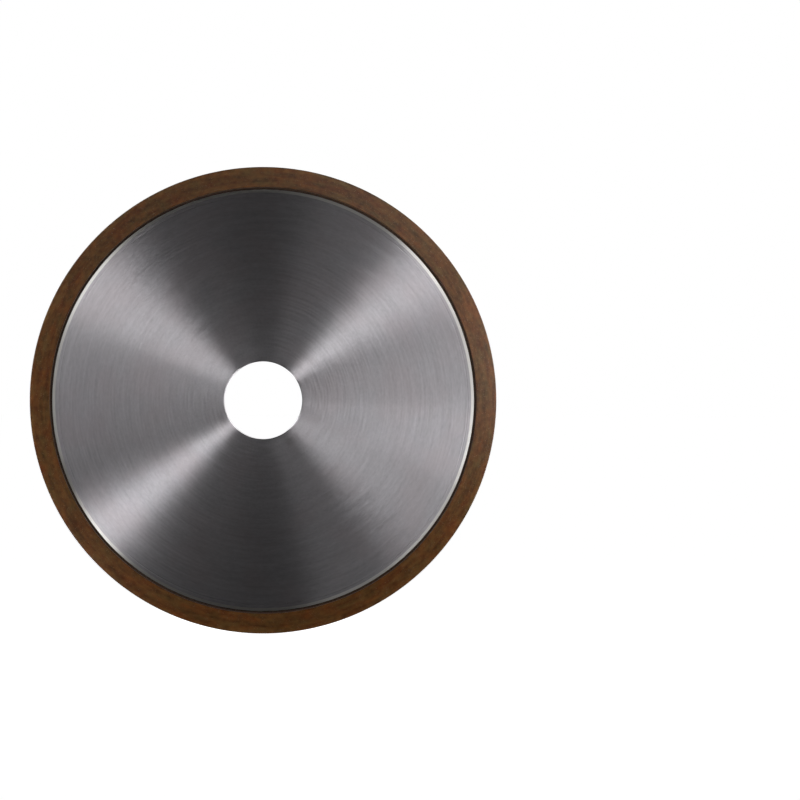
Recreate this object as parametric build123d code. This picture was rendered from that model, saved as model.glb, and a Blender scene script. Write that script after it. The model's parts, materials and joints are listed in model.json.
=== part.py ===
from build123d import *

import os
from math import cos, radians, tan

# Resin-bond diamond grinding wheel with a plain rim. All sizes are in millimetres.
#
# Frame: the wheel turns about +Y, its front face looks along -Y and +Z is up. The origin is the middle
# of the arbor bore, half-way between the two faces.
#
# Every piece is turned, so each one is a half-section of (radius, axial) points carried round the axis.

# Overall sizes
WHEEL_DIAMETER = 152.4
RIM_WIDTH = 6.35

# Diamond rim
ABRASIVE_DEPTH = 6.6
RIM_EDGE_ROUND = 0.3
RIM_INNER_BREAK = 0.15

# Steel core
BORE_DIAMETER = 25.4
BORE_DEBURR = 0.25
FACE_RELIEF = 0.1
EDGE_BEVEL_WIDTH = 0.95
EDGE_BEVEL_DROP = 0.3
WITNESS_LINE_INSET = 2.0
WITNESS_LINE_WIDTH = 0.45
WITNESS_LINE_DEPTH = 0.09

# Dovetail groove turned round the core's edge, which keys the rim against centrifugal load
KEY_MOUTH = 2.4
KEY_DEPTH = 0.9
KEY_FLANK_ANGLE = 15.0

# Joint between the core and the rim
JOINT_GROOVE_WIDTH = 0.8
JOINT_GROOVE_DEPTH = 0.45
BOND_FILM_THICKNESS = 0.12

# What follows from them
RIM_OUTER_RADIUS = WHEEL_DIAMETER / 2
RIM_INNER_RADIUS = RIM_OUTER_RADIUS - ABRASIVE_DEPTH
CORE_EDGE_RADIUS = RIM_INNER_RADIUS - JOINT_GROOVE_WIDTH
CORE_HALF_WIDTH = RIM_WIDTH / 2 - FACE_RELIEF
JOINT_HALF_WIDTH = CORE_HALF_WIDTH - JOINT_GROOVE_DEPTH
BORE_RADIUS = BORE_DIAMETER / 2
WITNESS_LINE_RADIUS = CORE_EDGE_RADIUS - WITNESS_LINE_INSET


def both_sides(upper_points):
    """Closes a half-section that is the same on both sides of the wheel's middle plane."""
    lower_points = [(radius, -axial) for radius, axial in reversed(upper_points)]
    return upper_points + lower_points


def turned(section):
    """Carries a half-section once round the wheel's axis."""
    return revolve(section, axis=Axis.Y, revolution_arc=360)


def keyed_edge(clearance, half_width):
    """Upper half of the core's dovetailed edge, moved outwards by a clearance.

    The flank of the dovetail widens inwards, so a wall moved off it by the clearance loses the
    clearance over the cosine of the flank angle, measured along the wheel's axis.
    """
    lean = tan(radians(KEY_FLANK_ANGLE))
    flank_shift = clearance * (lean + 1 / cos(radians(KEY_FLANK_ANGLE)))
    wall = CORE_EDGE_RADIUS + clearance
    mouth = KEY_MOUTH / 2 - flank_shift
    return [
        (wall, half_width),
        (wall, mouth),
        (wall - KEY_DEPTH, mouth + KEY_DEPTH * lean),
    ]


def steel_core():
    """Ground steel disc: arbor bore, flange faces, witness line, bevelled and dovetailed edge."""
    deburr_end = BORE_RADIUS + BORE_DEBURR
    bevel_start = CORE_EDGE_RADIUS - EDGE_BEVEL_WIDTH
    face = [
        (BORE_RADIUS, CORE_HALF_WIDTH - BORE_DEBURR),
        (deburr_end, CORE_HALF_WIDTH),
        (WITNESS_LINE_RADIUS - WITNESS_LINE_WIDTH / 2, CORE_HALF_WIDTH),
        (WITNESS_LINE_RADIUS, CORE_HALF_WIDTH - WITNESS_LINE_DEPTH),
        (WITNESS_LINE_RADIUS + WITNESS_LINE_WIDTH / 2, CORE_HALF_WIDTH),
        (bevel_start, CORE_HALF_WIDTH),
    ]
    edge = keyed_edge(0, CORE_HALF_WIDTH - EDGE_BEVEL_DROP)
    return turned(make_face(Polyline(*both_sides(face + edge), close=True)))


def bond_film():
    """Cured adhesive primer, an even film over the core's dovetailed edge."""
    inner = both_sides(keyed_edge(0, JOINT_HALF_WIDTH))
    outer = both_sides(keyed_edge(BOND_FILM_THICKNESS, JOINT_HALF_WIDTH))
    return turned(make_face(Polyline(*inner, *reversed(outer), close=True)))


def backing_ring():
    """Diamond-free moulded ring between the film and the rim, which fills the dovetail."""
    inner = both_sides(keyed_edge(BOND_FILM_THICKNESS, JOINT_HALF_WIDTH))
    outer = [(RIM_INNER_RADIUS, -JOINT_HALF_WIDTH), (RIM_INNER_RADIUS, JOINT_HALF_WIDTH)]
    return turned(make_face(Polyline(*inner, *outer, close=True)))


def diamond_rim():
    """Moulded resin and diamond rim: square section, outer edges rounded, inner edges broken."""
    section = Pos(RIM_OUTER_RADIUS - ABRASIVE_DEPTH / 2, 0) * Rectangle(ABRASIVE_DEPTH, RIM_WIDTH)
    section = fillet(section.vertices().group_by(Axis.X)[-1], RIM_EDGE_ROUND)
    section = chamfer(section.vertices().group_by(Axis.X)[0], RIM_INNER_BREAK)
    return turned(section)


PIECES = {
    "steel_core": steel_core,
    "bond_film": bond_film,
    "backing_ring": backing_ring,
    "diamond_rim": diamond_rim,
}

os.makedirs("parts", exist_ok=True)
for node, build_piece in PIECES.items():
    export_step(build_piece(), f"parts/{node}.step")
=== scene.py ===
"""Looks of a resin-bond diamond grinding wheel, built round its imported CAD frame.

Frame: metres. The wheel turns about +Y, its front face looks along -Y and +Z is up. The origin is the
middle of the arbor bore.
"""
import itertools
import json
import logging
from dataclasses import dataclass
from enum import Enum

import bmesh
import bpy
import numpy as np
from bpy.types import Material, Mesh, Node
from bpy.types import NodeSocket as Socket
from bpy.types import NodeTree as Tree
from bpy.types import Object
from mathutils import Matrix, Vector


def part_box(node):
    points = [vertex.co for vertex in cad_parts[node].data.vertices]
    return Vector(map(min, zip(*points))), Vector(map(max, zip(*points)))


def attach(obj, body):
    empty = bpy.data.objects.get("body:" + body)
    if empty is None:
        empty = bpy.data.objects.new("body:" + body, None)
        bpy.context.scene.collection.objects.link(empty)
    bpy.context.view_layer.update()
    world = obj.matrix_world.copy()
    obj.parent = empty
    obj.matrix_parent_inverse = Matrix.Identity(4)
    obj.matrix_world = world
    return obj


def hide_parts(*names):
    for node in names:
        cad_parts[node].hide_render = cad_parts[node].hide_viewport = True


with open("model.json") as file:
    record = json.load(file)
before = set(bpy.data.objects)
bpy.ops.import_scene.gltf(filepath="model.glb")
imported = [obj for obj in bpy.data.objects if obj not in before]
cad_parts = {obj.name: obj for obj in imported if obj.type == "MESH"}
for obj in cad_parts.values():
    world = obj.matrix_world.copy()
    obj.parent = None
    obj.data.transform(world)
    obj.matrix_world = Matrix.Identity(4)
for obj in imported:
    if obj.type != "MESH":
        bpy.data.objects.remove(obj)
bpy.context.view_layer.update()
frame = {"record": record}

MM = 0.001
FULL_TURN = 2 * np.pi
INSET = 0.004 * MM  # how far turned surfaces stay inside the CAD ones
SEED = 4

logging.basicConfig(level=logging.INFO, format="%(name)s: %(message)s")
log = logging.getLogger("wheel")


class Side(Enum):
    """A face of the wheel, by the sign of its outward normal along the wheel's axis."""

    FRONT = -1
    BACK = 1


class Slot(Enum):
    """The part's material slots."""

    STEEL = "ground_steel"
    PRIMER = "cured_primer"
    PHENOLIC = "filled_phenolic"
    RESIN = "diamond_resin"


def linear(hex_colour: str) -> tuple[float, float, float, float]:
    """Turns an sRGB hex colour into linear light.

    Args:
        hex_colour: six hex digits after a hash sign.

    Returns:
        Linear red, green and blue, and an alpha of 1. Each channel follows the sRGB curve: a straight
        toe below 0.04045 and a 2.4 power above it.
    """
    digits = hex_colour.lstrip("#")
    channels = np.array([int(digits[i : i + 2], 16) for i in (0, 2, 4)]) / 255
    toe = channels / 12.92
    curve = ((channels + 0.055) / 1.055) ** 2.4
    return (*np.where(channels <= 0.04045, toe, curve).tolist(), 1.0)


def add_node(
    tree: Tree, kind: str, settings: dict | None = None, links: dict | None = None
) -> Node:
    """Adds a shader node.

    Args:
        tree: the node tree it goes into.
        kind: the node's type name without its ShaderNode prefix.
        settings: values by name. A name that the node has as a property is set there, and any other
            name or number is one of its input sockets.
        links: output sockets by the name or number of the input socket that they feed.

    Returns:
        The new node.
    """
    made = tree.nodes.new("ShaderNode" + kind)
    for name, value in (settings or {}).items():
        if isinstance(name, str) and hasattr(made, name):
            setattr(made, name, value)
        else:
            made.inputs[name].default_value = value
    for name, output in (links or {}).items():
        tree.links.new(output, made.inputs[name])
    return made


def new_material(name: str) -> tuple[Material, Tree]:
    """Makes an empty node material.

    Args:
        name: the material's name.

    Returns:
        The material and its node tree, with no nodes in it.
    """
    material = bpy.data.materials.new(name)
    material.use_nodes = True
    material.node_tree.nodes.clear()
    return material, material.node_tree


# Outlines and turned surfaces


def both_sides(upper: np.ndarray) -> np.ndarray:
    """Closes a half outline that is the same on both sides of the wheel's middle plane.

    Args:
        upper: (n, 2) points of radius and axial place, from one end of the back half to the other.

    Returns:
        (2n, 2) points: the front half, mirrored and run backwards, then the back half.
    """
    return np.vstack([upper[::-1] * (1, -1), upper])


def anticlockwise(outline: np.ndarray) -> np.ndarray:
    """Turns a closed outline so that it runs anticlockwise.

    Twice the area is the sum of the cross products of neighbouring points, positive when they run
    anticlockwise.

    Args:
        outline: (n, 2) points.

    Returns:
        The same points, backwards if they ran clockwise.
    """
    following = np.roll(outline, -1, axis=0)
    twice_area = (outline[:, 0] * following[:, 1] - outline[:, 1] * following[:, 0]).sum()
    return outline if twice_area > 0 else outline[::-1]


def rounded(
    corners: np.ndarray, radii: np.ndarray, steps: int = 4, guard_share: float = 0.2
) -> np.ndarray:
    """Rounds the corners of a closed outline.

    At each corner two unit vectors point along its sides. The arc touches both sides at the radius over
    the tangent of the half angle, its centre lies on the bisector at the radius over the sine of the
    half angle, and its points turn evenly from one touching point to the other. A guard point on each
    side, a small share of the radius further out, keeps the flats next to the arc flat when they are
    shaded.

    Args:
        corners: (n, 2) corner points in order.
        radii: (n,) radius at each corner.
        steps: points on each arc.
        guard_share: how far outside the arc its guard points are, as a share of its radius.

    Returns:
        (n * (steps + 2), 2) points of the rounded outline.
    """
    before = np.roll(corners, 1, axis=0) - corners
    after = np.roll(corners, -1, axis=0) - corners
    before /= np.linalg.norm(before, axis=1, keepdims=True)
    after /= np.linalg.norm(after, axis=1, keepdims=True)
    half = np.arccos(np.clip((before * after).sum(axis=1), -1, 1)) / 2
    touch = (radii / np.tan(half))[:, None]
    bisector = before + after
    bisector /= np.linalg.norm(bisector, axis=1, keepdims=True)
    centres = corners + bisector * (radii / np.sin(half))[:, None]
    start = corners + before * touch - centres
    end = corners + after * touch - centres
    turn = (np.pi - 2 * half)[:, None, None]
    share = np.linspace(0, 1, steps)[None, :, None]
    arcs = np.sin((1 - share) * turn) * start[:, None] + np.sin(share * turn) * end[:, None]
    arcs = centres[:, None] + arcs / np.sin(turn)
    guard = radii[:, None] * guard_share
    first = (corners + before * (touch + guard))[:, None]
    last = (corners + after * (touch + guard))[:, None]
    return np.concatenate([first, arcs, last], axis=1).reshape(-1, 2)


def lengths_along(outline: np.ndarray) -> np.ndarray:
    """Measures how far along a closed outline its points lie.

    Args:
        outline: (n, 2) points in order.

    Returns:
        (n + 1,) running sums of the distances between neighbours: 0 at the first point, and the whole
        length at the end, where the outline is back at the first point.
    """
    closed = np.vstack([outline, outline[:1]])
    steps = np.linalg.norm(np.diff(closed, axis=0), axis=1)
    return np.concatenate([[0], np.cumsum(steps)])


def divided(outline: np.ndarray, step: float) -> np.ndarray:
    """Divides the long stretches of a closed outline.

    Stations are placed evenly along the outline's length, those closer than half a step to one of its
    own points are dropped, and the rest are read off the outline between its own points.

    Args:
        outline: (n, 2) points in order.
        step: the spacing of the new stations.

    Returns:
        (m, 2) points: the outline's own and the new ones, in order.
    """
    own = lengths_along(outline)
    closed = np.vstack([outline, outline[:1]])
    even = np.arange(0, own[-1], step)
    gap = np.abs(even[:, None] - own[None, :]).min(axis=1)
    stations = np.sort(np.concatenate([own[:-1], even[gap > step / 2]]))
    return np.stack([np.interp(stations, own, closed[:, axis]) for axis in (0, 1)], axis=1)


def normals_of(outline: np.ndarray) -> np.ndarray:
    """Works out the unit normals of a closed outline.

    A point's neighbours give the outline's direction there, and a quarter turn makes it the normal.

    Args:
        outline: (n, 2) points, anticlockwise.

    Returns:
        (n, 2) outward unit normals.
    """
    along = np.roll(outline, -1, axis=0) - np.roll(outline, 1, axis=0)
    quarter = np.stack([along[:, 1], -along[:, 0]], axis=1)
    return quarter / np.linalg.norm(quarter, axis=1, keepdims=True)


def new_piece(name: str, mesh: Mesh, material: Material) -> Object:
    """Puts a finished mesh into the scene, at the origin.

    Args:
        name: the piece's name.
        mesh: its mesh, in the wheel's frame.
        material: what it is made of.

    Returns:
        The object.
    """
    mesh.materials.append(material)
    mesh.update()
    piece = bpy.data.objects.new(name, mesh)
    bpy.context.scene.collection.objects.link(piece)
    return piece


def turned_piece(
    name: str,
    outline: np.ndarray,
    material: Material,
    lift: np.ndarray | float = -INSET,
    around: int = 360,
) -> Object:
    """Carries a closed outline round the wheel's axis and makes a closed mesh of it.

    A point (radius, axial) of the outline at angle t lands at (radius cos t, axial, radius sin t),
    after it is moved along the outline's normal by the lift. Each vertex keeps an attribute named lay,
    (cos t, sin t, distance along the outline in millimetres), on which finishing marks are drawn: it
    has no seam, and a large scale on its third part against its first two stretches a pattern round
    the wheel. The UV map, named chart, runs along the outline first, so its tangent lies across the
    finishing marks.

    Args:
        name: the piece's name.
        outline: (n, 2) points, anticlockwise in the plane of radius and axial place.
        material: what the piece is made of.
        lift: how far each point moves outwards, (n, around) or one number.
        around: how many steps make a turn.

    Returns:
        The object, at the origin.
    """
    count = len(outline)
    along = lengths_along(outline)
    angles = np.arange(around) / around * FULL_TURN
    rise = np.broadcast_to(lift, (count, around))[..., None]
    places = outline[:, None, :] + normals_of(outline)[:, None, :] * rise
    cosine = np.broadcast_to(np.cos(angles), (count, around))
    sine = np.broadcast_to(np.sin(angles), (count, around))
    points = np.stack([places[..., 0] * cosine, places[..., 1], places[..., 0] * sine], axis=-1)
    lay = np.stack([cosine, sine, np.broadcast_to(along[:-1, None] / MM, (count, around))], axis=-1)

    row, column = np.meshgrid(np.arange(count), np.arange(around), indexing="ij")
    rows = np.stack([row, row + 1, row + 1, row], axis=-1).reshape(-1, 4)
    columns = np.stack([column, column, column + 1, column + 1], axis=-1).reshape(-1, 4)
    faces = (rows % count) * around + columns % around

    mesh = bpy.data.meshes.new(name)
    mesh.from_pydata(points.reshape(-1, 3), [], faces)
    mesh.attributes.new("lay", "FLOAT_VECTOR", "POINT").data.foreach_set("vector", lay.ravel())
    chart = np.stack([along[rows] / along[-1], columns / around], axis=-1)
    mesh.uv_layers.new(name="chart").data.foreach_set("uv", chart.astype(np.float32).ravel())
    mesh.shade_smooth()
    return new_piece(name, mesh, material)


def waves(
    rng: np.random.Generator, along: np.ndarray, around: np.ndarray, count: int, turns: int, pitch: float
) -> np.ndarray:
    """A smooth, random, seamless unevenness over a turned surface, of unit spread.

    It is a sum of cosines. Each has a whole number of waves round the wheel, a wavelength along the
    outline of at least the pitch, and a phase of its own.

    Args:
        rng: where the random numbers come from.
        along: (n,) distances along the outline.
        around: (m,) angles.
        count: how many cosines are added.
        turns: the most waves round the wheel.
        pitch: the shortest wavelength along the outline.

    Returns:
        (n, m) heights.
    """
    whole = rng.integers(1, turns + 1, count)
    rate = rng.uniform(-1, 1, count) * FULL_TURN / pitch
    phase = rng.uniform(0, FULL_TURN, count)
    angle = along[:, None, None] * rate + around[None, :, None] * whole + phase
    return np.cos(angle).sum(axis=-1) / np.sqrt(count / 2)


def dress(piece: Object, node: str | None = None) -> Object:
    """Hides the CAD node that a piece stands for, if there is one, and hangs the piece under the root body.

    Args:
        piece: the piece.
        node: the CAD node, if it stands for one.

    Returns:
        The piece.
    """
    if node:
        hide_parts(node)
    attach(piece, "root")
    return piece


# Finishes


def radius_in(tree: Tree, place: Socket) -> Socket:
    """Works out the distance from the wheel's axis: the length of a place with its axial part taken out.

    Args:
        tree: the node tree.
        place: object coordinates.

    Returns:
        The distance in metres.
    """
    flat = add_node(tree, "VectorMath", {"operation": "MULTIPLY", 1: (1, 0, 1)}, {0: place}).outputs[0]
    return add_node(tree, "VectorMath", {"operation": "LENGTH"}, {0: flat}).outputs["Value"]


def drawn_out(
    tree: Tree, lay: Socket, pitch: float, arc: float, detail: float = 3.0, roughness: float = 0.6
) -> Socket:
    """Noise drawn out into arcs round the wheel.

    Args:
        tree: the node tree.
        lay: the lay attribute.
        pitch: spacing of the arcs, in millimetres.
        arc: how many degrees one runs for.
        detail: how many finer octaves are added.
        roughness: how strong each octave is against the one before it.

    Returns:
        The noise, which varies about 0.5.
    """
    stretch = 1 / np.radians(arc)
    place = add_node(tree, "Mapping", {"Scale": (stretch, stretch, 1 / pitch)}, {"Vector": lay})
    settings = {"Scale": 1.0, "Detail": detail, "Roughness": roughness}
    return add_node(tree, "TexNoise", settings, {"Vector": place.outputs[0]}).outputs[0]


@dataclass(frozen=True)
class GroundSteel:
    """Low-carbon steel, ground on a turning table, with its bevel painted brighter than steel: a painted
    highlight that strengthens the light the bevel reflects.

    The grinding leaves fine rings round the bore. Light is spread widely across the rings and hardly
    along them, which the eye sees as bright fans that run from the bore to the edge. The rings are
    coarser towards the edge, where the work ran faster under the stone, so the fans are softer there.
    The single scratches are a few hundredths of a millimetre wide, too fine to show, so they are drawn
    at the width of the bands that they bunch into. Handling leaves a faint, warm oxide film in places.
    """

    bore_radius: float
    bevel_radius: float
    light: str = "#C4C1C5"
    dark: str = "#B3B0B4"
    # painted highlight: the bevel's colour, brighter than steel, stands in for the light the bevel reflects
    bright: str = "#E3E1DD"
    bevel_blur: float = 0.05  # mm to either side of the bevel's edge
    oxide: str = "#BDB0B3"
    oxide_patch: float = 14.0  # mm
    oxide_ends: tuple[float, float] = (0.42, 0.65)  # the noise where it starts and where it is full
    oxide_most: float = 0.25
    band_pitch: float = 1.4  # mm
    line_pitch: float = 0.6  # mm
    wander_pitch: float = 0.78  # mm
    scratch_pitch: float = 0.8  # mm
    long_arc: float = 18.0  # degrees
    short_arc: float = 1.8  # degrees
    mark_ends: tuple[float, float] = (0.7, 1.3)  # the sum of two noises at the weakest and the strongest
    rough_at_bore: float = 0.372
    rough_at_edge: float = 0.497
    rough_spread: float = 0.008
    rough_power: float = 2.0
    anisotropy: float = 1.0
    wander: float = 2.5  # degrees that the direction of the marks wanders by
    relief: float = 0.07  # mm

    def marks(
        self, tree: Tree, lay: Socket, long_pitch: float, low: float = 0.0, high: float = 1.0
    ) -> Socket:
        """Adds long fine bands to short arcs.

        Args:
            tree: the node tree.
            lay: the lay attribute.
            long_pitch: spacing of the long bands, in millimetres.
            low: what the weakest marks give.
            high: what the strongest marks give.

        Returns:
            A value from low to high.
        """
        long = drawn_out(tree, lay, long_pitch, self.long_arc)
        short = drawn_out(tree, lay, self.line_pitch, self.short_arc)
        both = add_node(tree, "Math", {"operation": "ADD"}, {0: long, 1: short}).outputs[0]
        weakest, strongest = self.mark_ends
        ends = {"From Min": weakest, "From Max": strongest, "To Min": low, "To Max": high}
        return add_node(tree, "MapRange", ends, {"Value": both}).outputs["Result"]

    def colour(self, tree: Tree, place: Socket, radius: Socket, share: Socket) -> Socket:
        """Colours the steel: toned by its marks, clouded with oxide and painted bright on the bevel as a
        painted highlight.

        Args:
            tree: the node tree.
            place: object coordinates.
            radius: distance from the wheel's axis.
            share: the marks, from 0 to 1.

        Returns:
            The colour.
        """
        ends = {"data_type": "RGBA", 6: linear(self.dark), 7: linear(self.light)}
        face = add_node(tree, "Mix", ends, {0: share}).outputs[2]
        settings = {"Scale": 1 / (self.oxide_patch * MM), "Detail": 2.0}
        cloud = add_node(tree, "TexNoise", settings, {"Vector": place}).outputs[0]
        start, full = self.oxide_ends
        ends = {"From Min": start, "From Max": full, "To Max": self.oxide_most}
        film = add_node(tree, "MapRange", ends, {"Value": cloud}).outputs["Result"]
        ends = {"data_type": "RGBA", 7: linear(self.oxide)}
        face = add_node(tree, "Mix", ends, {0: film, 6: face}).outputs[2]
        # Painted highlight: the bevel gets the brighter colour, standing in for the light it reflects.
        blur = self.bevel_blur * MM
        ends = {"From Min": self.bevel_radius - blur, "From Max": self.bevel_radius + blur}
        bevel_highlight_share = add_node(tree, "MapRange", ends, {"Value": radius}).outputs["Result"]
        ends = {"data_type": "RGBA", 7: linear(self.bright)}
        return add_node(tree, "Mix", ends, {0: bevel_highlight_share, 6: face}).outputs[2]

    def roughness(self, tree: Tree, radius: Socket, share: Socket) -> Socket:
        """Roughens the steel from the bore to the edge.

        Roughness rises fast near the bore and levels off: what is left to rise goes with a power of
        what is left of the way to the edge. The strongest marks are a little smoother.

        Args:
            tree: the node tree.
            radius: distance from the wheel's axis.
            share: the marks, from 0 to 1.

        Returns:
            The roughness.
        """
        ends = {"From Min": self.bevel_radius, "From Max": self.bore_radius}
        left = add_node(tree, "MapRange", ends, {"Value": radius}).outputs["Result"]
        power = {"operation": "POWER", 1: self.rough_power}
        left = add_node(tree, "Math", power, {0: left}).outputs[0]
        ends = {"To Min": self.rough_at_edge, "To Max": self.rough_at_bore}
        trend = add_node(tree, "MapRange", ends, {"Value": left}).outputs["Result"]
        ends = {"To Min": self.rough_spread, "To Max": -self.rough_spread}
        spread = add_node(tree, "MapRange", ends, {"Value": share}).outputs["Result"]
        return add_node(tree, "Math", {"operation": "ADD"}, {0: trend, 1: spread}).outputs[0]

    def tangent(self, tree: Tree, lay: Socket) -> Socket:
        """Lets the direction of the marks wander from one mark to the next.

        The tangent turned by a small angle is the tangent plus the tangent of that angle times its
        cross product with the normal.

        Args:
            tree: the node tree.
            lay: the lay attribute.

        Returns:
            The tangent, of unit length.
        """
        along = add_node(tree, "Tangent", {"direction_type": "UV_MAP", "uv_map": "chart"}).outputs[0]
        normal = add_node(tree, "NewGeometry").outputs["Normal"]
        cross = {"operation": "CROSS_PRODUCT"}
        beside = add_node(tree, "VectorMath", cross, {0: normal, 1: along}).outputs[0]
        reach = float(np.tan(np.radians(self.wander)))
        turn = self.marks(tree, lay, self.wander_pitch, -reach, reach)
        shift = add_node(tree, "VectorMath", {"operation": "SCALE"}, {0: beside, "Scale": turn})
        turned = add_node(tree, "VectorMath", {}, {0: along, 1: shift.outputs[0]}).outputs[0]
        return add_node(tree, "VectorMath", {"operation": "NORMALIZE"}, {0: turned}).outputs[0]

    def material(self) -> Material:
        """Builds the node material.

        Returns:
            The material, for pieces with the lay attribute and the chart UV map.
        """
        material, tree = new_material("ground_steel")
        lay = add_node(tree, "Attribute", {"attribute_name": "lay"}).outputs["Vector"]
        place = add_node(tree, "TexCoord").outputs["Object"]
        radius = radius_in(tree, place)
        share = self.marks(tree, lay, self.band_pitch)
        height = drawn_out(tree, lay, self.scratch_pitch, self.long_arc, detail=0.0)
        bump = add_node(tree, "Bump", {"Distance": self.relief * MM}, {"Height": height})
        links = {
            "Base Color": self.colour(tree, place, radius, share),
            "Roughness": self.roughness(tree, radius, share),
            "Normal": bump.outputs[0],
            "Tangent": self.tangent(tree, lay),
        }
        settings = {"Metallic": 1.0, "Anisotropic": self.anisotropy}
        shader = add_node(tree, "BsdfPrincipled", settings, links)
        add_node(tree, "OutputMaterial", links={"Surface": shader.outputs[0]})
        return material


@dataclass(frozen=True)
class DiamondResin:
    """Phenolic resin filled with diamond grit, moulded hot and dressed flat.

    The resin is a tobacco brown with a dull sheen, mottled where the powders were mixed unevenly.
    Dressing drags the mottling out a little round the wheel. The outer edge is painted lighter, painted
    light that stands in for the near lamps lighting it more. The tread is dressed coarser than the faces
    and has no sheen. The grit is about 0.15 mm across, below what shows, so its speckle is drawn at twice
    that.
    """

    outer: float
    edge_round: float
    light_red: str = "#6C3F19"
    dark_red: str = "#4C2103"
    light_olive: str = "#5C4523"
    dark_olive: str = "#3C2708"
    speck: str = "#75583A"
    mottle_pitch: float = 1.2  # mm
    mottle_arc: float = 1.4  # degrees
    streak_pitch: float = 1.3  # mm
    streak_arc: float = 9.0  # degrees
    tone_ends: tuple[float, float] = (0.75, 1.25)  # the sum of two noises where darkest and lightest
    tint_pitch: float = 2.6  # mm
    tint_arc: float = 5.0  # degrees
    tint_ends: tuple[float, float] = (0.3, 0.7)  # the noise where reddest and where most olive
    # painted light: how much lighter the outer edge is painted, standing in for the near lamps lighting it
    # more
    painted_edge_light: float = 1.25  # brightness of the outer edge, as a share of the rest
    painted_edge_band: float = 2.2  # mm
    grit: float = 0.32  # mm
    speck_core: float = 0.1  # of the grit's spacing, where a speck is full
    speck_reach: float = 0.35  # of the grit's spacing, where a speck ends
    speckless: float = 0.7  # share of the grit that doesn't show
    speck_most: float = 0.5  # how much of the speck's colour the clearest speck has
    face_roughness: float = 0.32
    tread_roughness: float = 0.62
    specular: float = 0.48
    relief: float = 0.02  # mm
    relief_strength: float = 0.5

    def mixture(self, tree: Tree, lay: Socket, mottles: Socket) -> Socket:
        """Mixes the resin's four browns: dark and light, redder and more olive.

        Args:
            tree: the node tree.
            lay: the lay attribute.
            mottles: the noise of the powders' uneven mixing.

        Returns:
            The colour of the resin without its specks.
        """
        streaks = drawn_out(tree, lay, self.streak_pitch, self.streak_arc)
        tints = drawn_out(tree, lay, self.tint_pitch, self.tint_arc)
        both = add_node(tree, "Math", {"operation": "ADD"}, {0: mottles, 1: streaks}).outputs[0]
        darkest, lightest = self.tone_ends
        ends = {"From Min": darkest, "From Max": lightest}
        share = add_node(tree, "MapRange", ends, {"Value": both}).outputs["Result"]
        ends = {"data_type": "RGBA", 6: linear(self.dark_red), 7: linear(self.light_red)}
        red = add_node(tree, "Mix", ends, {0: share}).outputs[2]
        ends = {"data_type": "RGBA", 6: linear(self.dark_olive), 7: linear(self.light_olive)}
        olive = add_node(tree, "Mix", ends, {0: share}).outputs[2]
        reddest, greenest = self.tint_ends
        ends = {"From Min": reddest, "From Max": greenest}
        hue = add_node(tree, "MapRange", ends, {"Value": tints}).outputs["Result"]
        return add_node(tree, "Mix", {"data_type": "RGBA"}, {0: hue, 6: red, 7: olive}).outputs[2]

    def speckled(self, tree: Tree, place: Socket, body: Socket) -> Socket:
        """Sets pale specks into a colour. Only a few of the cells that they are drawn from have one.

        Args:
            tree: the node tree.
            place: object coordinates.
            body: the resin's colour.

        Returns:
            The colour with its specks.
        """
        cells = add_node(tree, "TexVoronoi", {"Scale": 1 / (self.grit * MM)}, {"Vector": place})
        ends = {
            "From Min": self.speck_core,
            "From Max": self.speck_reach,
            "To Min": 1.0,
            "To Max": 0.0,
        }
        near = add_node(tree, "MapRange", ends, {"Value": cells.outputs["Distance"]})
        chosen = add_node(tree, "SeparateColor", links={"Color": cells.outputs["Color"]})
        ends = {"From Min": self.speckless, "From Max": 1.0, "To Max": self.speck_most}
        rare = add_node(tree, "MapRange", ends, {"Value": chosen.outputs[0]})
        links = {0: near.outputs["Result"], 1: rare.outputs["Result"]}
        shown = add_node(tree, "Math", {"operation": "MULTIPLY"}, links).outputs[0]
        ends = {"data_type": "RGBA", 7: linear(self.speck)}
        return add_node(tree, "Mix", ends, {0: shown, 6: body}).outputs[2]

    def material(self) -> Material:
        """Builds the node material.

        Returns:
            The material, for pieces with the lay attribute.
        """
        material, tree = new_material("diamond_resin")
        place = add_node(tree, "TexCoord").outputs["Object"]
        lay = add_node(tree, "Attribute", {"attribute_name": "lay"}).outputs["Vector"]
        mottles = drawn_out(tree, lay, self.mottle_pitch, self.mottle_arc)
        body = self.speckled(tree, place, self.mixture(tree, lay, mottles))

        # Painted light: the band at the outer edge is painted lighter towards the edge, standing in for the
        # near lamps lighting it more.
        radius = radius_in(tree, place)
        ends = {
            "From Min": self.outer - self.painted_edge_band * MM,
            "From Max": self.outer,
            "To Min": 1.0,
            "To Max": self.painted_edge_light,
        }
        light = add_node(tree, "MapRange", ends, {"Value": radius}).outputs["Result"]
        lit = add_node(tree, "VectorMath", {"operation": "SCALE"}, {0: body, "Scale": light})
        # The change from face to tread falls on the rounded edge between them.
        ends = {
            "From Min": self.outer - self.edge_round,
            "From Max": self.outer - self.edge_round / 3,
            "To Min": self.face_roughness,
            "To Max": self.tread_roughness,
        }
        rough = add_node(tree, "MapRange", ends, {"Value": radius})
        settings = {"Distance": self.relief * MM, "Strength": self.relief_strength}
        bump = add_node(tree, "Bump", settings, {"Height": mottles})
        links = {
            "Base Color": lit.outputs[0],
            "Roughness": rough.outputs["Result"],
            "Normal": bump.outputs[0],
        }
        settings = {"IOR": 1.55, "Specular IOR Level": self.specular}
        shader = add_node(tree, "BsdfPrincipled", settings, links)
        add_node(tree, "OutputMaterial", links={"Surface": shader.outputs[0]})
        return material


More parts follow.
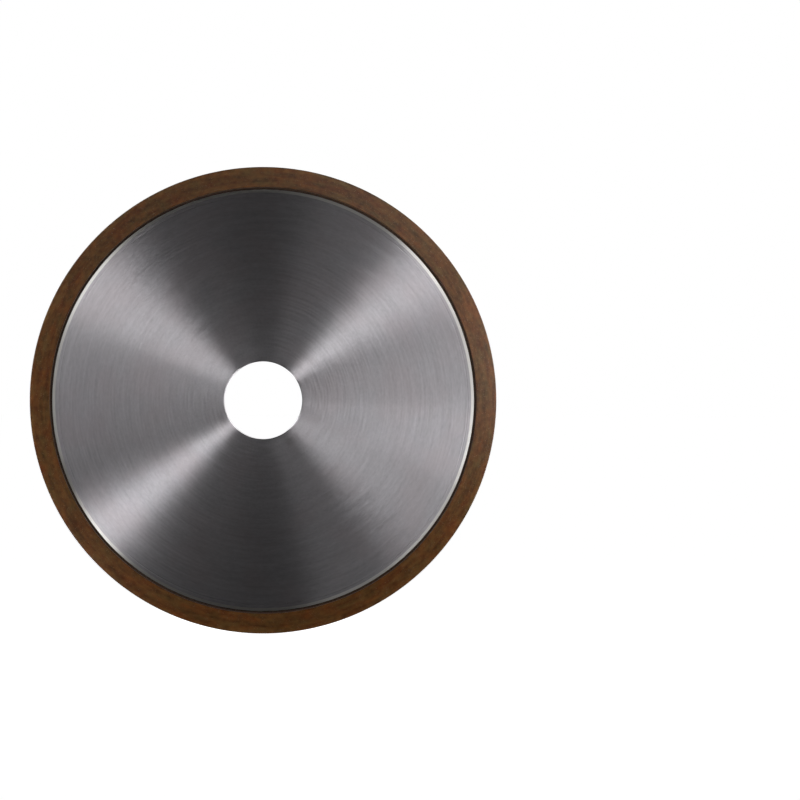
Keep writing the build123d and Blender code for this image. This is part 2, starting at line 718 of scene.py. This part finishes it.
@dataclass(frozen=True)
class DiamondGrit:
    """Synthetic diamond, blocky crystals of honey yellow to grey, dulled by dressing.

    Each crystal has a tone of its own, read from an attribute named tone.
    """

    honey: str = "#866645"
    grey: str = "#574D3F"
    roughness: float = 0.45
    ior: float = 2.42
    specular: float = 0.2  # well under a clean crystal's, because resin smears it

    def material(self) -> Material:
        """Builds the node material.

        Returns:
            The material, for pieces with the tone attribute.
        """
        material, tree = new_material("diamond_grit")
        tone = add_node(tree, "Attribute", {"attribute_name": "tone"}).outputs["Fac"]
        ends = {"data_type": "RGBA", 6: linear(self.honey), 7: linear(self.grey)}
        colour = add_node(tree, "Mix", ends, {0: tone}).outputs[2]
        settings = {
            "Roughness": self.roughness,
            "IOR": self.ior,
            "Specular IOR Level": self.specular,
        }
        shader = add_node(tree, "BsdfPrincipled", settings, {"Base Color": colour})
        add_node(tree, "OutputMaterial", links={"Surface": shader.outputs[0]})
        return material


@dataclass(frozen=True)
class DullResin:
    """Cured resin with no diamond in it, as pressed or brushed on: dark brown, matte and uneven."""

    slot: Slot
    light: str
    dark: str
    grain: float  # mm
    grain_ends: tuple[float, float] = (0.3, 0.7)  # the noise where darkest and where lightest
    roughness: float = 0.7
    relief: float = 0.01  # mm
    relief_strength: float = 0.5

    def material(self) -> Material:
        """Builds the node material.

        Returns:
            The material, patterned on object coordinates.
        """
        material, tree = new_material(self.slot.value)
        place = add_node(tree, "TexCoord").outputs["Object"]
        settings = {"Scale": 1 / (self.grain * MM), "Detail": 3.0}
        grains = add_node(tree, "TexNoise", settings, {"Vector": place}).outputs[0]
        darkest, lightest = self.grain_ends
        ends = {"From Min": darkest, "From Max": lightest}
        share = add_node(tree, "MapRange", ends, {"Value": grains})
        ends = {"data_type": "RGBA", 6: linear(self.dark), 7: linear(self.light)}
        colour = add_node(tree, "Mix", ends, {0: share.outputs["Result"]}).outputs[2]
        settings = {"Distance": self.relief * MM, "Strength": self.relief_strength}
        bump = add_node(tree, "Bump", settings, {"Height": grains})
        settings = {"Roughness": self.roughness, "IOR": 1.5}
        links = {"Base Color": colour, "Normal": bump.outputs[0]}
        shader = add_node(tree, "BsdfPrincipled", settings, links)
        add_node(tree, "OutputMaterial", links={"Surface": shader.outputs[0]})
        return material


@dataclass(frozen=True)
class PaleFloor:
    """White matt board, lit so evenly that only the wheel's contact with it shows."""

    colour: str = "#E6E6E6"
    near_glow: float = 0.86
    near: float = 0.15  # metres
    far: float = 0.5  # metres

    def material(self) -> Material:
        """Builds the node material.

        Returns:
            The material, which glows white far from the wheel and a little less near it.
        """
        material, tree = new_material("pale_board")
        place = add_node(tree, "TexCoord").outputs["Object"]
        reach = add_node(tree, "VectorMath", {"operation": "LENGTH"}, {0: place}).outputs["Value"]
        ends = {
            "interpolation_type": "SMOOTHSTEP",
            "From Min": self.near,
            "From Max": self.far,
            "To Min": self.near_glow,
        }
        glow = add_node(tree, "MapRange", ends, {"Value": reach}).outputs["Result"]
        light = add_node(tree, "Emission", {"Color": (1, 1, 1, 1)}, {"Strength": glow})
        board = add_node(tree, "BsdfDiffuse", {"Color": linear(self.colour)})
        both = add_node(tree, "AddShader", links={0: light.outputs[0], 1: board.outputs[0]})
        add_node(tree, "OutputMaterial", links={"Surface": both.outputs[0]})
        return material


# Sub-assemblies


@dataclass
class Joint:
    """The dovetailed joint between the core's edge and what is moulded round it."""

    radius: float
    mouth: float = 2.4 * MM
    depth: float = 0.9 * MM
    flank: float = 15.0  # degrees

    def wall(self, clearance: float, half_width: float) -> np.ndarray:
        """Corner points of the wall's back half, moved outwards by a clearance.

        The flank widens inwards, so the wall moved off it loses, along the axis, the clearance times
        the sum of the flank angle's tangent and one over its cosine.

        Args:
            clearance: how far outside the core's edge the wall runs.
            half_width: where its outer end is.

        Returns:
            (3, 2) points from the outer end to the bottom of the dovetail.
        """
        angle = np.radians(self.flank)
        mouth = self.mouth / 2 - clearance * (np.tan(angle) + 1 / np.cos(angle))
        wall = self.radius + clearance
        return np.array(
            [
                (wall, half_width),
                (wall, mouth),
                (wall - self.depth, mouth + self.depth * np.tan(angle)),
            ]
        )


@dataclass
class SteelCore:
    """The steel disc: arbor bore, ground faces, witness line, bevelled and dovetailed edge."""

    joint: Joint
    bore_radius: float
    half_width: float
    deburr: float = 0.25 * MM
    bevel_width: float = 0.95 * MM
    bevel_drop: float = 0.3 * MM
    witness_inset: float = 2.0 * MM
    witness_width: float = 0.45 * MM
    witness_depth: float = 0.09 * MM
    edge_break: float = 0.04 * MM
    ring_step: float = 0.7 * MM
    ring_height: float = 0.002 * MM

    @property
    def bevel_radius(self) -> float:
        """Where the face ends and the edge bevel starts."""
        return self.joint.radius - self.bevel_width

    def outline(self) -> np.ndarray:
        """Draws the disc's outline.

        Returns:
            (n, 2) points, anticlockwise, with the edges broken and the faces divided.
        """
        edge = self.joint.radius
        witness = edge - self.witness_inset
        face = np.array(
            [
                (self.bore_radius, self.half_width - self.deburr),
                (self.bore_radius + self.deburr, self.half_width),
                (witness - self.witness_width / 2, self.half_width),
                (witness, self.half_width - self.witness_depth),
                (witness + self.witness_width / 2, self.half_width),
                (self.bevel_radius, self.half_width),
            ]
        )
        corners = both_sides(np.vstack([face, self.joint.wall(0, self.half_width - self.bevel_drop)]))
        corners = anticlockwise(corners)
        return divided(rounded(corners, np.full(len(corners), self.edge_break)), self.ring_step)

    def build(self, steel: Material, rng: np.random.Generator) -> Object:
        """Turns the disc and gives its faces the low rings that grinding leaves.

        Args:
            steel: the finish.
            rng: where the random numbers come from.

        Returns:
            The piece, standing for the CAD core.
        """
        outline = self.outline()
        on_face = np.isclose(np.abs(outline[:, 1]), self.half_width)
        rings = rng.uniform(-1, 0, len(outline)) * self.ring_height * on_face - INSET
        piece = turned_piece("steel_disc", outline, steel, lift=rings[:, None])
        return dress(piece, "steel_core")


@dataclass
class BondedRing:
    """What is moulded round the core: bond film, backing ring, diamond rim and the grit it shows."""

    joint: Joint
    film: float
    inner: float
    outer: float
    half_width: float
    joint_half_width: float
    edge_round: float = 0.3 * MM
    inner_break: float = 0.15 * MM
    hidden_break: float = 0.02 * MM
    skin_step: float = 0.4 * MM
    skin_around: int = 720
    skin_depth: float = 0.045 * MM
    skin_wander: float = 0.012 * MM
    wander_pitch: float = 1.5 * MM
    wander_turns: int = 160
    wander_waves: int = 48
    wander_most: float = 3.0  # spreads at which the wander is cut off
    grit_size: float = 0.13 * MM  # from a crystal's centre to its corners, a little over life size
    grit_sizes: tuple[float, float] = (0.75, 1.25)  # smallest and largest, as shares of that
    face_grit: int = 2000
    tread_grit: int = 2400
    tread_inset: float = 3 * INSET

    def build_film(self, primer: Material) -> Object:
        """Turns the bond film, which follows the core's edge.

        Args:
            primer: the finish.

        Returns:
            The piece, standing for the CAD film.
        """
        inner = both_sides(self.joint.wall(0, self.joint_half_width))
        outer = both_sides(self.joint.wall(self.film, self.joint_half_width))
        corners = anticlockwise(np.vstack([inner, outer[::-1]]))
        outline = rounded(corners, np.full(len(corners), self.hidden_break))
        return dress(turned_piece("bond_film_coat", outline, primer), "bond_film")

    def build_backing(self, phenolic: Material) -> Object:
        """Turns the backing ring, which fills the dovetail.

        Args:
            phenolic: the finish.

        Returns:
            The piece, standing for the CAD backing ring.
        """
        inner = both_sides(self.joint.wall(self.film, self.joint_half_width))
        outer = np.array([(self.inner, -self.joint_half_width), (self.inner, self.joint_half_width)])
        corners = anticlockwise(np.vstack([inner, outer[::-1]]))
        outline = rounded(corners, np.full(len(corners), self.hidden_break))
        return dress(turned_piece("backing_layer", outline, phenolic), "backing_ring")

    def build_rim(self, resin: Material, rng: np.random.Generator) -> Object:
        """Turns the rim, whose skin wanders by hundredths as a moulded and dressed one does.

        Args:
            resin: the finish.
            rng: where the random numbers come from.

        Returns:
            The piece, standing for the CAD rim.
        """
        corners = np.array(
            [
                (self.inner, -self.half_width),
                (self.outer, -self.half_width),
                (self.outer, self.half_width),
                (self.inner, self.half_width),
            ]
        )
        radii = np.array([self.inner_break, self.edge_round, self.edge_round, self.inner_break])
        outline = divided(rounded(corners, radii, steps=5), self.skin_step)
        along = lengths_along(outline)[:-1]
        angles = np.arange(self.skin_around) / self.skin_around * FULL_TURN
        wander = waves(rng, along, angles, self.wander_waves, self.wander_turns, self.wander_pitch)
        lift = np.clip(wander / self.wander_most, -1, 1) * self.skin_wander - self.skin_depth
        piece = turned_piece("diamond_ring", outline, resin, lift, self.skin_around)
        return dress(piece, "diamond_rim")

    def scatter(
        self, name: str, centres: np.ndarray, sizes: np.ndarray, grit: Material, rng: np.random.Generator
    ) -> Object:
        """Sets crystals into the skin.

        A crystal is a truncated octahedron: its corners are all the orders of 0, 1 and 2 with either
        sign, scaled to a unit reach, under the triangles of their convex hull. Each is turned by a
        random unit quaternion.

        Args:
            name: the piece's name.
            centres: (n, 3) places.
            sizes: (n,) reaches from centre to corner.
            grit: the finish.
            rng: where the random numbers come from.

        Returns:
            The piece.
        """
        orders = np.array(list(itertools.permutations((0, 1, 2))))
        signs = np.array(list(itertools.product((-1, 1), repeat=3)))
        corners = np.unique((orders[:, None] * signs[None]).reshape(-1, 3), axis=0) / np.sqrt(5)
        crystal = bpy.data.meshes.new("crystal")
        crystal.from_pydata(corners, [], [])
        shell = bmesh.new()
        shell.from_mesh(crystal)
        bmesh.ops.convex_hull(shell, input=shell.verts)
        bmesh.ops.recalc_face_normals(shell, faces=shell.faces)
        shell.to_mesh(crystal)
        shell.free()
        triangles = np.empty(len(crystal.loops), dtype=int)
        crystal.loops.foreach_get("vertex_index", triangles)
        triangles = triangles.reshape(-1, 3)
        bpy.data.meshes.remove(crystal)

        quaternions = rng.normal(size=(4, len(centres)))
        w, x, y, z = quaternions / np.linalg.norm(quaternions, axis=0)
        turn = np.array(
            [
                [1 - 2 * (y * y + z * z), 2 * (x * y - w * z), 2 * (x * z + w * y)],
                [2 * (x * y + w * z), 1 - 2 * (x * x + z * z), 2 * (y * z - w * x)],
                [2 * (x * z - w * y), 2 * (y * z + w * x), 1 - 2 * (x * x + y * y)],
            ]
        )
        points = np.einsum("ijn,cj->nci", turn, corners) * sizes[:, None, None] + centres[:, None]
        first = np.arange(len(centres)) * len(corners)
        faces = (triangles[None] + first[:, None, None]).reshape(-1, 3)
        mesh = bpy.data.meshes.new(name)
        mesh.from_pydata(points.reshape(-1, 3), [], faces)
        tone = np.repeat(rng.uniform(0, 1, len(centres)), len(corners))
        mesh.attributes.new("tone", "FLOAT", "POINT").data.foreach_set("value", tone)
        return dress(new_piece(name, mesh, grit))

    def build_grit(self, grit: Material, rng: np.random.Generator) -> list[Object]:
        """Sets the exposed grit into both faces and the tread.

        Places are spread evenly over the area: on a face the radius is the root of an even draw between
        the squares of its two ends.

        Args:
            grit: the finish.
            rng: where the random numbers come from.

        Returns:
            The three pieces.
        """
        pieces = []
        inner = self.inner + 2 * self.grit_size
        outer = self.outer - self.edge_round - self.grit_size
        for side in Side:
            sizes = rng.uniform(*self.grit_sizes, self.face_grit) * self.grit_size
            radius = np.sqrt(rng.uniform(inner**2, outer**2, self.face_grit))
            angle = rng.uniform(0, FULL_TURN, self.face_grit)
            axial = side.value * (self.half_width - sizes - INSET)
            centres = np.stack([radius * np.cos(angle), axial, radius * np.sin(angle)], axis=1)
            pieces.append(self.scatter(f"grit_{side.name.lower()}", centres, sizes, grit, rng))
        sizes = rng.uniform(*self.grit_sizes, self.tread_grit) * self.grit_size
        reach = self.half_width - self.edge_round - self.grit_size
        radius = self.outer - sizes - self.tread_inset
        angle = rng.uniform(0, FULL_TURN, self.tread_grit)
        axial = rng.uniform(-reach, reach, self.tread_grit)
        centres = np.stack([radius * np.cos(angle), axial, radius * np.sin(angle)], axis=1)
        pieces.append(self.scatter("grit_tread", centres, sizes, grit, rng))
        return pieces


# Studio


@dataclass(frozen=True)
class Softbox:
    """A rectangular soft light, aimed at the middle of the bore."""

    name: str
    azimuth: float  # degrees round the wheel's axis, from +X towards +Z
    off_axis: float  # degrees away from the wheel's axis
    distance: float  # metres
    width: float  # metres, round the axis
    height: float  # metres, away from the axis
    power: float  # watts

    def hang(self, side: Side) -> Object:
        """Hangs the light on one side of the wheel.

        Args:
            side: which face it looks at.

        Returns:
            The light, hidden from the camera.
        """
        turn = np.radians(self.azimuth)
        lean = np.radians(self.off_axis)
        outward = Vector((np.cos(turn), 0, np.sin(turn)))
        back = outward * np.sin(lean) + Vector((0, side.value, 0)) * np.cos(lean)
        up = (outward - back * outward.dot(back)).normalized()
        lamp = bpy.data.lights.new(f"{self.name}_{side.name.lower()}", "AREA")
        lamp.shape = "RECTANGLE"
        lamp.size = self.width
        lamp.size_y = self.height
        lamp.energy = self.power
        made = bpy.data.objects.new(lamp.name, lamp)
        bpy.context.scene.collection.objects.link(made)
        axes = Matrix((up.cross(back), up, back)).transposed().to_4x4()
        made.matrix_world = Matrix.Translation(back * self.distance) @ axes
        made.visible_camera = False
        return made


@dataclass
class Studio:
    """Camera, pale floor, white surround and soft lights."""

    wheel_radius: float
    wheel_share: float = 0.5828  # the wheel's width, as a share of the view's
    side_share: float = 0.171  # how far left of the middle it sits, in widths of the view
    rise_share: float = -0.0003  # how far above the middle it sits, in widths of the view
    distance: float = 2.5  # metres
    far_clip: float = 100.0  # metres
    sensor: float = 36.0  # mm
    ambient: float = 0.002
    floor_reach: float = 30.0  # metres
    softboxes: tuple[Softbox, ...] = (
        Softbox("right_box", 7.6, 55.0, 0.14, 0.057, 0.123, 0.042),
        Softbox("upper_right_strip", 34.6, 71.0, 0.16, 0.071, 0.020, 0.043),
        Softbox("upper_right_box", 36.7, 40.4, 0.25, 0.032, 0.052, 0.054),
        Softbox("upper_right_fill", 55.5, 38.9, 0.14, 0.068, 0.049, 0.008),
        Softbox("high_fill", 103.8, 6.5, 0.40, 0.020, 0.022, 0.016),
        Softbox("upper_left_box", 146.2, 61.0, 0.27, 0.087, 0.293, 0.260),
        Softbox("left_strip", 176.5, 72.0, 0.14, 0.102, 0.020, 0.018),
        Softbox("lower_left_box", 218.6, 57.3, 0.14, 0.025, 0.020, 0.028),
        Softbox("low_box", 294.3, 56.6, 0.20, 0.056, 0.020, 0.010),
        Softbox("lower_right_strip", 321.5, 72.0, 0.90, 0.427, 0.070, 1.692),
        Softbox("right_strip", 346.4, 56.3, 0.17, 0.049, 0.020, 0.046),
    )

    def camera(self) -> Object:
        """Stands the camera on the wheel's axis and turns it so that the wheel sits left of the middle.

        Returns:
            The camera.
        """
        width = 2 * self.wheel_radius / self.wheel_share
        aim = Vector((self.side_share * width, 0, -self.rise_share * width))
        lens = bpy.data.cameras.new("camera")
        lens.sensor_width = self.sensor
        lens.lens = self.sensor * self.distance / width
        lens.clip_end = self.far_clip
        made = bpy.data.objects.new("camera", lens)
        bpy.context.scene.collection.objects.link(made)
        made.location = (0, -self.distance, 0)
        made.rotation_mode = "QUATERNION"
        made.rotation_quaternion = (aim - made.location).to_track_quat("-Z", "Y")
        bpy.context.scene.camera = made
        return made

    def floor(self) -> Object:
        """Lays the floor under the wheel, where it neither lights the wheel nor shades it.

        Returns:
            The floor.
        """
        corners = np.array([(-1, -1), (1, -1), (1, 1), (-1, 1)]) * self.floor_reach
        mesh = bpy.data.meshes.new("floor")
        mesh.from_pydata(np.column_stack([corners, np.full(4, -self.wheel_radius)]), [], [(0, 1, 2, 3)])
        board = new_piece("floor", mesh, PaleFloor().material())
        board.visible_diffuse = False
        board.visible_glossy = False
        board.visible_shadow = False
        return board

    def surround(self) -> None:
        """Shows white to the camera and lights the wheel with a dim, even grey."""
        world = bpy.data.worlds.new("surround")
        bpy.context.scene.world = world
        world.use_nodes = True
        tree = world.node_tree
        tree.nodes.clear()
        seen = add_node(tree, "LightPath").outputs["Is Camera Ray"]
        dim = add_node(tree, "Background", {"Color": (1, 1, 1, 1), "Strength": self.ambient})
        white = add_node(tree, "Background", {"Color": (1, 1, 1, 1), "Strength": 1.0})
        mixed = add_node(tree, "MixShader", links={0: seen, 1: dim.outputs[0], 2: white.outputs[0]})
        add_node(tree, "OutputWorld", links={"Surface": mixed.outputs[0]})

    def build(self) -> None:
        """Sets up the whole studio."""
        self.camera()
        self.surround()
        self.floor()
        for softbox in self.softboxes:
            for side in Side:
                softbox.hang(side)
        bpy.context.scene.view_settings.view_transform = "Standard"


def main() -> None:
    """Builds the wheel and its studio, and logs how many corners and faces each piece has."""
    rng = np.random.default_rng(SEED)
    mounts = {mount["name"]: mount for mount in frame["record"]["mounts"]}
    core_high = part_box("steel_core")[1]
    film_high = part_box("bond_film")[1]
    backing_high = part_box("backing_ring")[1]
    rim_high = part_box("diamond_rim")[1]
    joint = Joint(radius=core_high.x)

    core = SteelCore(
        joint=joint,
        bore_radius=mounts["arbor_bore"]["dims"]["r_mm"] * MM,
        half_width=core_high.y,
    )
    steel = GroundSteel(bore_radius=core.bore_radius, bevel_radius=core.bevel_radius)
    pieces = [core.build(steel.material(), rng)]
    ring = BondedRing(
        joint=joint,
        film=film_high.x - core_high.x,
        inner=backing_high.x,
        outer=rim_high.x,
        half_width=rim_high.y,
        joint_half_width=backing_high.y,
    )
    primer = DullResin(Slot.PRIMER, light="#2E1A0E", dark="#180D07", grain=0.8)
    phenolic = DullResin(Slot.PHENOLIC, light="#4C382A", dark="#2E2018", grain=0.5)
    resin = DiamondResin(outer=ring.outer, edge_round=ring.edge_round)
    pieces.append(ring.build_film(primer.material()))
    pieces.append(ring.build_backing(phenolic.material()))
    pieces.append(ring.build_rim(resin.material(), rng))
    pieces += ring.build_grit(DiamondGrit().material(), rng)
    for piece in pieces:
        log.info("%s: %d corners, %d faces", piece.name, len(piece.data.vertices), len(piece.data.polygons))

    Studio(wheel_radius=rim_high.x).build()


if __name__ == "__main__":
    main()
